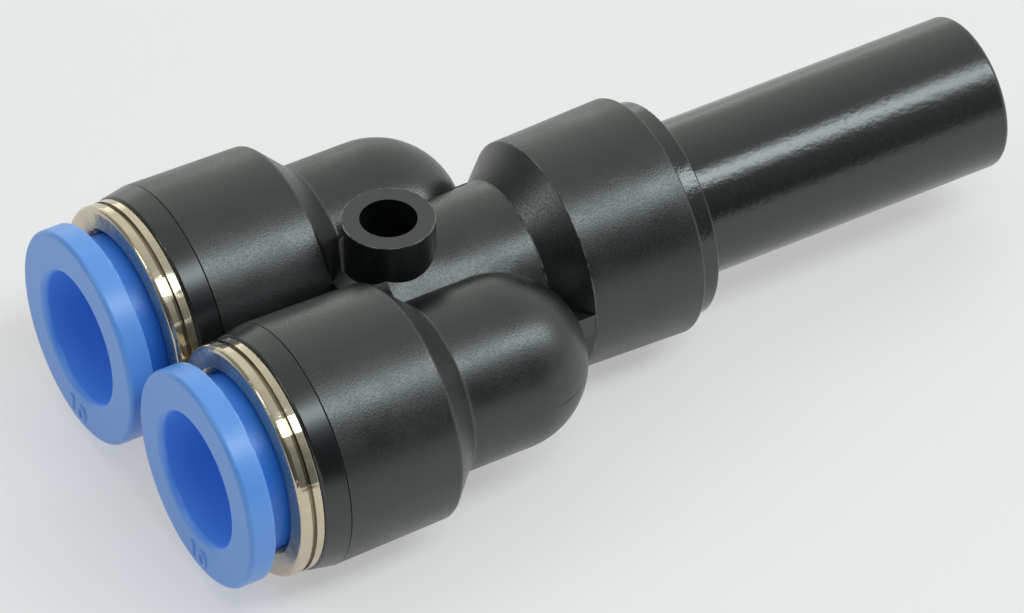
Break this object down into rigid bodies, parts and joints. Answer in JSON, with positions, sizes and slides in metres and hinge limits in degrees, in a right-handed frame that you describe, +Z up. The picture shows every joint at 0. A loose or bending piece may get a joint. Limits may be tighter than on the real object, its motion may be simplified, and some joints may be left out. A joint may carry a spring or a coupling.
{
  "type": "push-in tube fitting",
  "caption": "Plug-in Y connector for air tubing: parallel push-in ports with release sleeves, one plain stem and a mounting hole between the ports.",
  "frame": {"origin": "middle of the mounting hole, on the level of the three port axes", "axes": "+X along the stem towards its free end, Y across the two ports, +Z up the mounting hole"},
  "size_m": [0.0714, 0.0364, 0.0186],
  "materials": {
    "body_plastic": "black, fine eroded grain, glossier band at the mouths",
    "stem_plastic": "black, smooth moulded",
    "sleeve_plastic": "mid blue, satin moulded",
    "plated_brass": "turned, bright nickel plate",
    "collet_plastic": "natural moulded",
    "spring_steel": "stamped stainless sheet",
    "seal_rubber": "black moulded rubber"
  },
  "bodies": {
    "fitting": {"body": "body_plastic", "plug_stem": "stem_plastic", "retaining_ring_left": "plated_brass", "collet_ring_left": "collet_plastic", "grab_ring_left": "spring_steel", "spacer_ring_left": "collet_plastic", "lip_seal_left": "seal_rubber", "retaining_ring_right": "plated_brass", "collet_ring_right": "collet_plastic", "grab_ring_right": "spring_steel", "spacer_ring_right": "collet_plastic", "lip_seal_right": "seal_rubber"},
    "sleeve_left": {"release_sleeve_left": "sleeve_plastic"},
    "sleeve_right": {"release_sleeve_right": "sleeve_plastic"}
  },
  "joints": [
    {"name": "release_left", "type": "slide", "parent": "fitting", "child": "sleeve_left", "axis": [1, 0, 0], "range_m": [0, 0.0016], "stiffness_N_per_m": 3000, "springref_m": -0.0005, "deforming": ["grab_ring_left"]},
    {"name": "release_right", "type": "slide", "parent": "fitting", "child": "sleeve_right", "axis": [1, 0, 0], "range_m": [0, 0.0016], "stiffness_N_per_m": 3000, "springref_m": -0.0005, "deforming": ["grab_ring_right"]}
  ]
}
